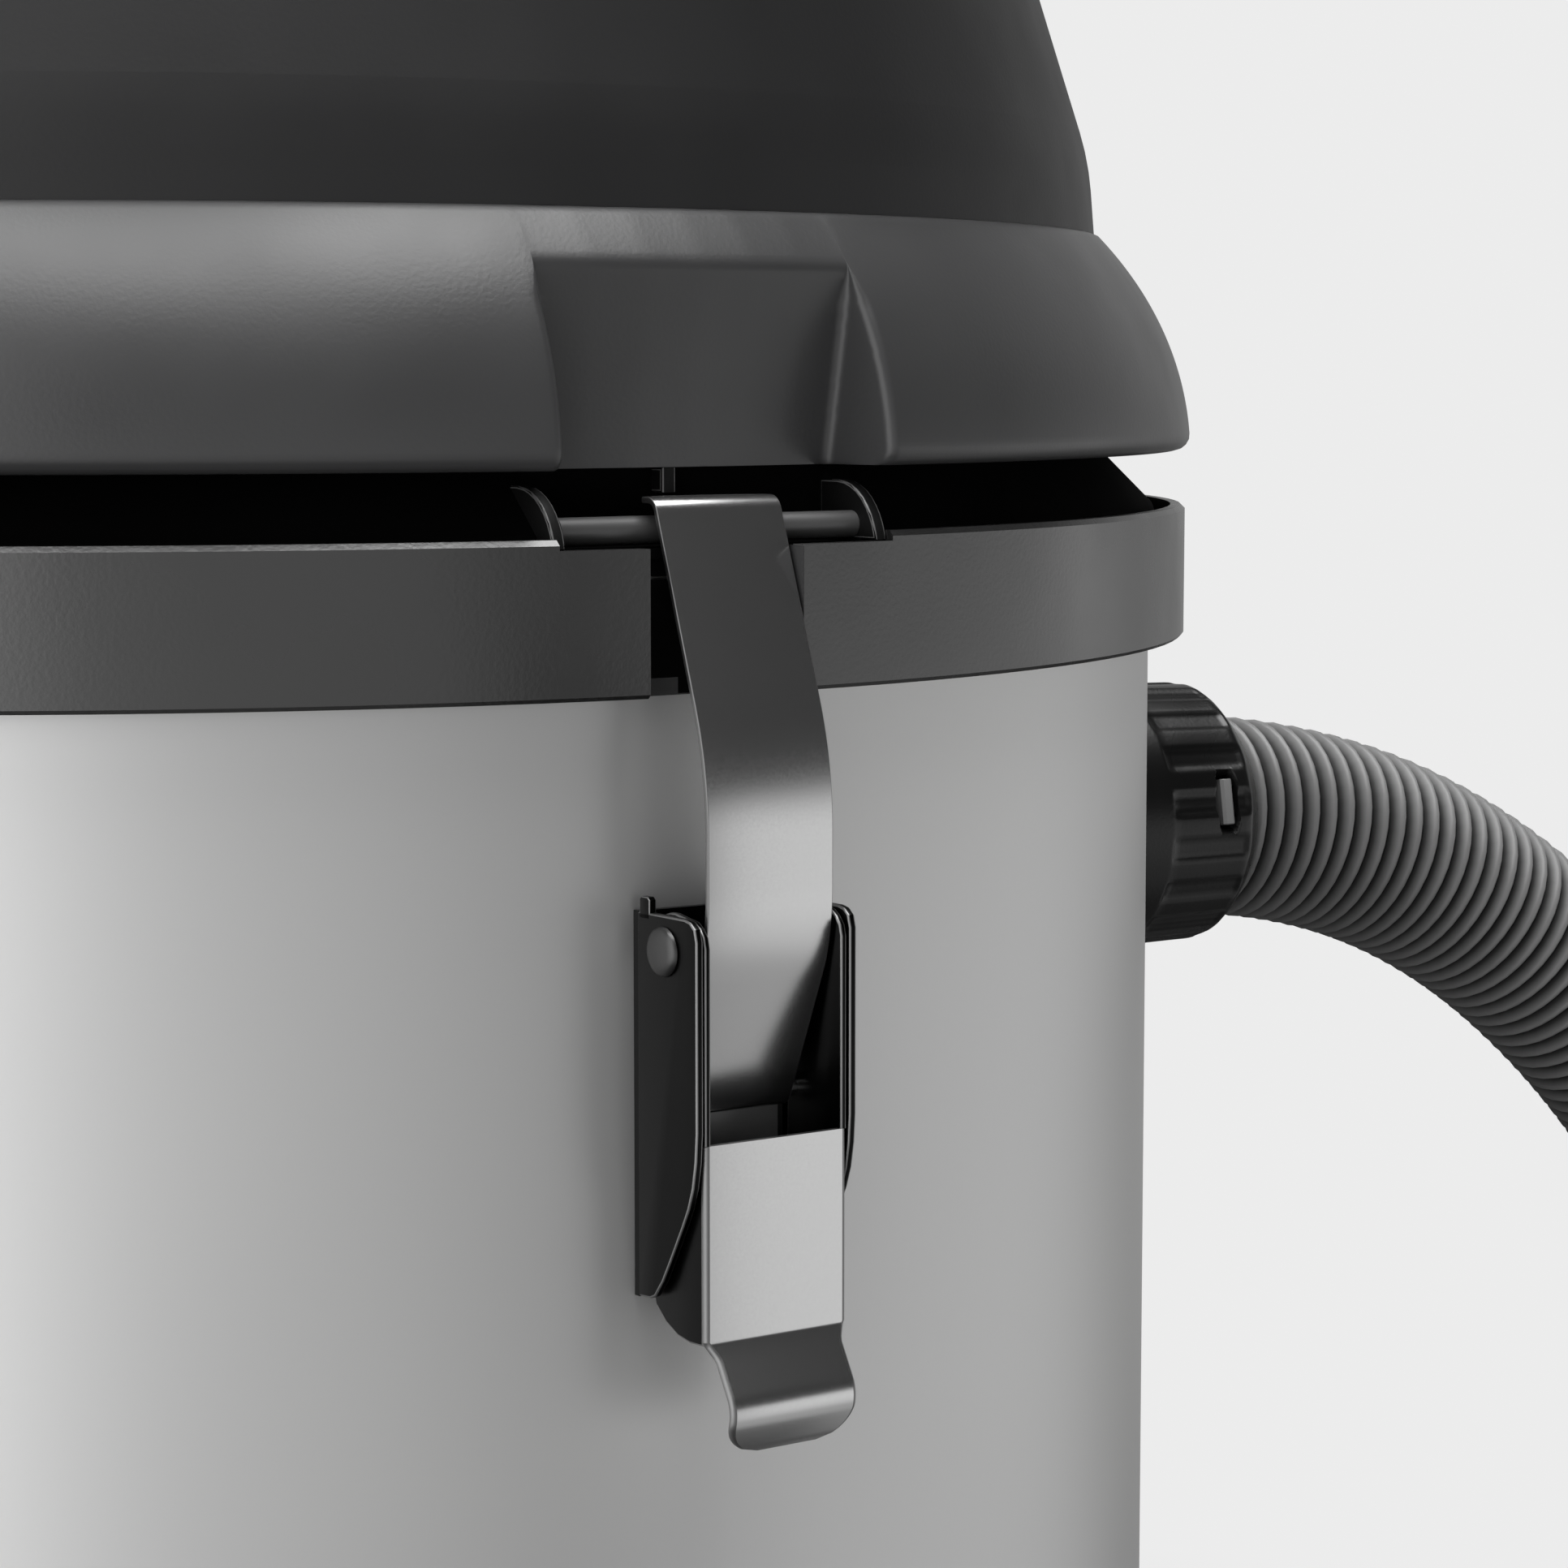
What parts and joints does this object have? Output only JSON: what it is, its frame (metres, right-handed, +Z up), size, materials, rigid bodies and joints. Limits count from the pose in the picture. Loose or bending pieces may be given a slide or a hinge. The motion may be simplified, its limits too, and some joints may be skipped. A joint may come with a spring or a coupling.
{
  "type": "shop vacuum",
  "caption": "Wet and dry shop vacuum: stainless drum on casters, motor head held by two toggle latches, cartridge filter inside, corrugated suction hose.",
  "frame": {"origin": "centre of the base on the floor, on the drum's axis", "axes": "+Z up along the drum's axis; the hose inlet faces -Y; the latches are to the left and right, at -X and +X"},
  "size_m": [0.6398, 0.6849, 0.63],
  "materials": {
    "stainless": "satin",
    "steel": "satin plated",
    "zinc": "zinc plated",
    "hood_grey": "fine matt texture",
    "skirt_grey": "satin",
    "black_plastic": "satin",
    "float_white": "satin",
    "impeller_white": "satin",
    "hose_grey": "satin corrugated",
    "rubber": "matt",
    "tyre": "matt",
    "filter_paper": "pleated paper"
  },
  "bodies": {
    "drum_unit": {"base_plate": "black_plastic", "base_screws": "steel", "bracket_rivets": "steel", "bumper_ring": "black_plastic", "drum": "stainless", "drum_bottom": "stainless", "hand_tube": "black_plastic", "hose_connector": "black_plastic", "hose_cuff": "rubber", "hose_tube": "hose_grey", "inlet_nut": "black_plastic", "inlet_seal": "rubber", "inlet_socket": "black_plastic", "latch_bracket_left": "steel", "latch_bracket_right": "steel", "lever_pins": "steel", "rim_band": "skirt_grey"},
    "head": {"head_collar": "black_plastic", "hook_pins": "steel", "skirt": "skirt_grey", "hood": "hood_grey", "head_screws": "steel", "exhaust_grille": "black_plastic", "switch_body": "hood_grey", "cable_gland": "rubber", "carry_handle": "black_plastic", "motor_deck": "black_plastic", "fan_housing": "black_plastic", "motor_housing": "zinc", "motor_damper": "rubber", "motor_bearings": "steel", "filter_cage": "black_plastic", "filter_cartridge": "filter_paper", "filter_end_rings": "rubber", "filter_retainer": "black_plastic", "filter_stud": "steel", "head_seal": "rubber"},
    "rotor": {"rotor_shaft": "steel", "armature": "steel", "impeller": "impeller_white"},
    "float": {"float_cup": "float_white"},
    "switch": {"switch_knob": "black_plastic"},
    "lever_left": {"latch_lever_left": "steel", "strap_pin_left": "steel"},
    "strap_left": {"latch_strap_left": "steel"},
    "lever_right": {"latch_lever_right": "steel", "strap_pin_right": "steel"},
    "strap_right": {"latch_strap_right": "steel"},
    "fork_front_left": {"caster_fork_front_left": "zinc", "caster_axle_front_left": "steel"},
    "wheel_front_left": {"caster_wheel_front_left": "tyre"},
    "fork_front_right": {"caster_fork_front_right": "zinc", "caster_axle_front_right": "steel"},
    "wheel_front_right": {"caster_wheel_front_right": "tyre"},
    "fork_rear_left": {"caster_fork_rear_left": "zinc", "caster_axle_rear_left": "steel"},
    "wheel_rear_left": {"caster_wheel_rear_left": "tyre"},
    "fork_rear_right": {"caster_fork_rear_right": "zinc", "caster_axle_rear_right": "steel"},
    "wheel_rear_right": {"caster_wheel_rear_right": "tyre"}
  },
  "joints": [
    {"name": "head_lift", "type": "slide", "parent": "drum_unit", "child": "head", "axis": [0, 0, 1], "range_m": [0, 0.22]},
    {"name": "rotor_spin", "type": "hinge", "parent": "head", "child": "rotor", "pos_m": [0, 0, 0.48], "axis": [0, 0, 1], "continuous": true},
    {"name": "float_rise", "type": "slide", "parent": "head", "child": "float", "axis": [0, 0, 1], "range_m": [0, 0.055]},
    {"name": "switch_turn", "type": "hinge", "parent": "head", "child": "switch", "pos_m": [0, -0.15079, 0.52], "axis": [0, -0.9542, 0.299], "range_deg": [-90, 0]},
    {"name": "latch_left_open", "type": "hinge", "parent": "drum_unit", "child": "lever_left", "pos_m": [-0.1858, -0.02281, 0.3444], "axis": [-0.1219, 0.9925, 0], "range_deg": [0, 75]},
    {"name": "strap_left_swing", "type": "hinge", "parent": "lever_left", "child": "strap_left", "pos_m": [-0.18193, -0.02234, 0.3218], "axis": [-0.1219, 0.9925, 0], "range_deg": [-68, 0]},
    {"name": "latch_right_open", "type": "hinge", "parent": "drum_unit", "child": "lever_right", "pos_m": [0.1858, -0.02281, 0.3444], "axis": [-0.1219, -0.9925, 0], "range_deg": [0, 75]},
    {"name": "strap_right_swing", "type": "hinge", "parent": "lever_right", "child": "strap_right", "pos_m": [0.18193, -0.02234, 0.3218], "axis": [-0.1219, -0.9925, 0], "range_deg": [-68, 0]},
    {"name": "caster_front_left_swivel", "type": "hinge", "parent": "drum_unit", "child": "fork_front_left", "pos_m": [-0.10607, -0.10607, 0.07], "axis": [0, 0, 1], "continuous": true},
    {"name": "caster_front_left_roll", "type": "hinge", "parent": "fork_front_left", "child": "wheel_front_left", "pos_m": [-0.10607, -0.08807, 0.025], "axis": [1, 0, 0], "continuous": true},
    {"name": "caster_front_right_swivel", "type": "hinge", "parent": "drum_unit", "child": "fork_front_right", "pos_m": [0.10607, -0.10607, 0.07], "axis": [0, 0, 1], "continuous": true},
    {"name": "caster_front_right_roll", "type": "hinge", "parent": "fork_front_right", "child": "wheel_front_right", "pos_m": [0.10607, -0.08807, 0.025], "axis": [1, 0, 0], "continuous": true},
    {"name": "caster_rear_left_swivel", "type": "hinge", "parent": "drum_unit", "child": "fork_rear_left", "pos_m": [-0.10607, 0.10607, 0.07], "axis": [0, 0, 1], "continuous": true},
    {"name": "caster_rear_left_roll", "type": "hinge", "parent": "fork_rear_left", "child": "wheel_rear_left", "pos_m": [-0.10607, 0.12407, 0.025], "axis": [1, 0, 0], "continuous": true},
    {"name": "caster_rear_right_swivel", "type": "hinge", "parent": "drum_unit", "child": "fork_rear_right", "pos_m": [0.10607, 0.10607, 0.07], "axis": [0, 0, 1], "continuous": true},
    {"name": "caster_rear_right_roll", "type": "hinge", "parent": "fork_rear_right", "child": "wheel_rear_right", "pos_m": [0.10607, 0.12407, 0.025], "axis": [1, 0, 0], "continuous": true}
  ],
  "couplings": [
    {"joint": "strap_left_swing", "follows": "latch_left_open", "ratio": -0.9},
    {"joint": "strap_right_swing", "follows": "latch_right_open", "ratio": -0.9}
  ]
}
